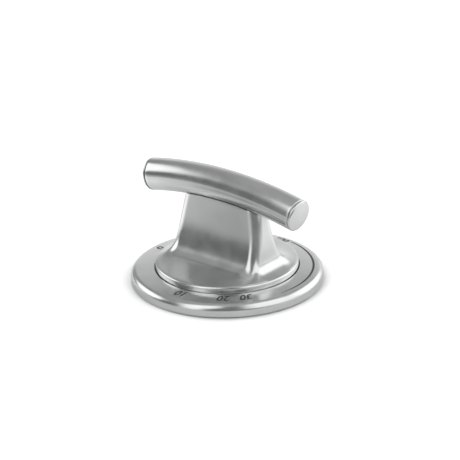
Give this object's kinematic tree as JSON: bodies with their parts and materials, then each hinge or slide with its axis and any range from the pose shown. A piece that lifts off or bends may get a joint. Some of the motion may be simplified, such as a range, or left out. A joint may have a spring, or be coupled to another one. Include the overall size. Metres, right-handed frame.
{
  "type": "cooktop control knob",
  "caption": "Satin metal cooktop control knob: an arched round bar handle on a flared pedestal, in a round dial skirt that turns on a base plate and lets the handle push in.",
  "frame": {"origin": "centre of the base on the cooktop, on the turning axis", "axes": "+Z is the turning axis, up from the cooktop; +X is along the handle bar, away from the off mark; +Y is towards the mark for the highest heat"},
  "size_m": [0.0684, 0.068, 0.0419],
  "materials": {
    "satin_metal": "satin",
    "steel": "satin",
    "spring_steel": "satin",
    "brass": "satin",
    "rubber": "matte",
    "acetal": "satin",
    "dial_print": "matte"
  },
  "bodies": {
    "base": {"base_plate": "steel", "base_gasket": "rubber", "glide_ring": "acetal", "snap_ring": "spring_steel"},
    "dial": {"dial_skirt": "satin_metal", "return_spring": "spring_steel", "drive_pin_front": "steel", "drive_pin_back": "steel"},
    "knob": {"pedestal": "satin_metal", "handle_bar": "satin_metal", "spring_seat": "steel", "hub": "brass", "stem_clip": "spring_steel", "end_cap_left": "satin_metal", "handle_screw_left": "steel", "lock_washer_left": "spring_steel", "dowel_left": "steel", "hub_screw_left": "steel", "end_cap_right": "satin_metal", "handle_screw_right": "steel", "lock_washer_right": "spring_steel", "dowel_right": "steel", "hub_screw_right": "steel"}
  },
  "joints": [
    {"name": "knob_turn", "type": "hinge", "parent": "base", "child": "dial", "pos_m": [0, 0, 0], "axis": [0, 0, 1], "range_deg": [0, 270]},
    {"name": "knob_push", "type": "slide", "parent": "dial", "child": "knob", "axis": [0, 0, -1], "range_m": [0, 0.0018], "stiffness_N_per_m": 1200, "springref_m": -0.006, "deforming": ["return_spring"]}
  ]
}
